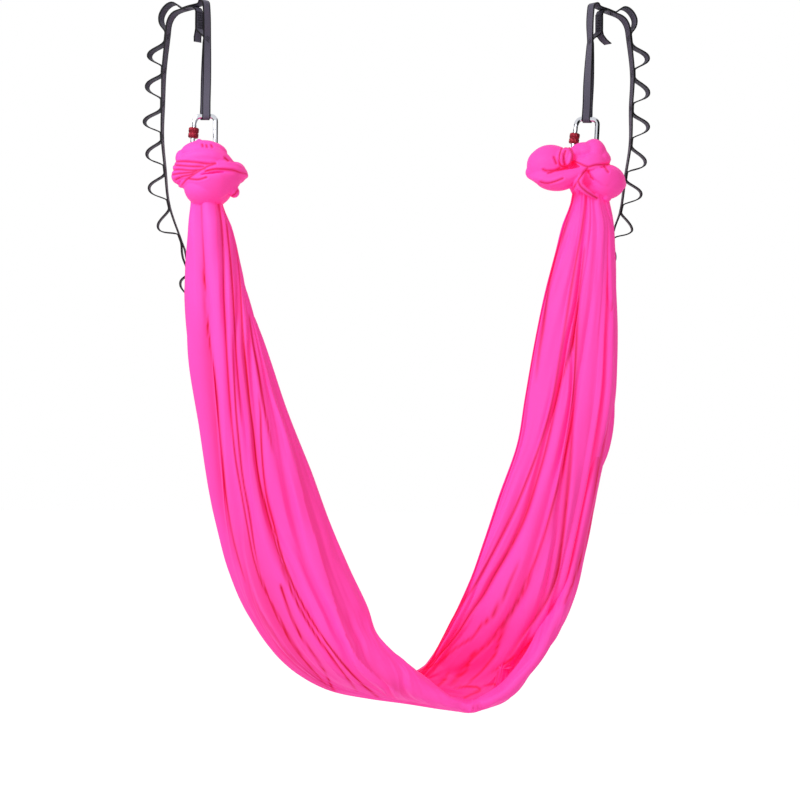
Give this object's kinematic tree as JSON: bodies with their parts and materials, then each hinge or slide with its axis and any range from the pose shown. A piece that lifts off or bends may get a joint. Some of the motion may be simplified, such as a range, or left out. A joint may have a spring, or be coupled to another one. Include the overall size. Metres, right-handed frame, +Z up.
{
  "type": "aerial hammock",
  "caption": "Cloth sling knotted onto a screw-lock carabiner at each end, hung from daisy-chain straps; the gates open, the sleeves slide and the sling swings.",
  "frame": {"origin": "midpoint between the two hook seats, level with the underside of both straps where the overhead hooks carry them", "axes": "+X to the right seen from the front, +Y to the back, +Z up"},
  "size_m": [1.249, 0.2473, 1.7119],
  "materials": {
    "webbing": "matte",
    "polished_steel": "polished",
    "red_anodised": "satin",
    "spring_steel": "satin",
    "tricot": "matte"
  },
  "bodies": {
    "straps": {"left_looped_strap": "webbing", "left_straight_strap": "webbing", "right_looped_strap": "webbing", "right_straight_strap": "webbing"},
    "hammock": {"left_carabiner_frame": "polished_steel", "left_hinge_rivet": "polished_steel", "left_knot": "tricot", "right_carabiner_frame": "polished_steel", "right_hinge_rivet": "polished_steel", "right_knot": "tricot", "silk_sling": "tricot"},
    "left_gate": {"left_gate": "polished_steel", "left_latch_pin": "polished_steel", "left_gate_spring": "spring_steel"},
    "left_sleeve": {"left_screw_sleeve": "red_anodised"},
    "left_plunger": {"left_spring_plunger": "polished_steel"},
    "right_gate": {"right_gate": "polished_steel", "right_latch_pin": "polished_steel", "right_gate_spring": "spring_steel"},
    "right_sleeve": {"right_screw_sleeve": "red_anodised"},
    "right_plunger": {"right_spring_plunger": "polished_steel"}
  },
  "joints": [
    {"name": "hammock_swing", "type": "hinge", "parent": "straps", "child": "hammock", "pos_m": [0, 0, -0.2762], "axis": [1, 0, 0], "range_deg": [-40, 40]},
    {"name": "left_gate_hinge", "type": "hinge", "parent": "hammock", "child": "left_gate", "pos_m": [-0.49345, 0, -0.3482], "axis": [0, 1, 0], "range_deg": [0, 28], "stiffness_Nm_per_rad": 0.1, "springref_deg": -17.19},
    {"name": "left_sleeve_travel", "type": "slide", "parent": "left_gate", "child": "left_sleeve", "axis": [-0.0872, 0, -0.9962], "range_m": [-0.0125, 0.003]},
    {"name": "left_plunger_slide", "type": "slide", "parent": "left_gate", "child": "left_plunger", "axis": [0.0872, 0, 0.9962], "range_m": [0, 0.0008]},
    {"name": "right_gate_hinge", "type": "hinge", "parent": "hammock", "child": "right_gate", "pos_m": [0.42004, 0, -0.34681], "axis": [0, 1, 0], "range_deg": [0, 28], "stiffness_Nm_per_rad": 0.1, "springref_deg": -17.19},
    {"name": "right_sleeve_travel", "type": "slide", "parent": "right_gate", "child": "right_sleeve", "axis": [-0.1305, 0, -0.9914], "range_m": [-0.0205, 0.001]},
    {"name": "right_plunger_slide", "type": "slide", "parent": "right_gate", "child": "right_plunger", "axis": [0.1305, 0, 0.9914], "range_m": [0, 0.0008]}
  ],
  "couplings": [
    {"joint": "left_plunger_slide", "follows": "left_gate_hinge", "m_per_rad": 0.001637},
    {"joint": "right_plunger_slide", "follows": "right_gate_hinge", "m_per_rad": 0.001637}
  ]
}
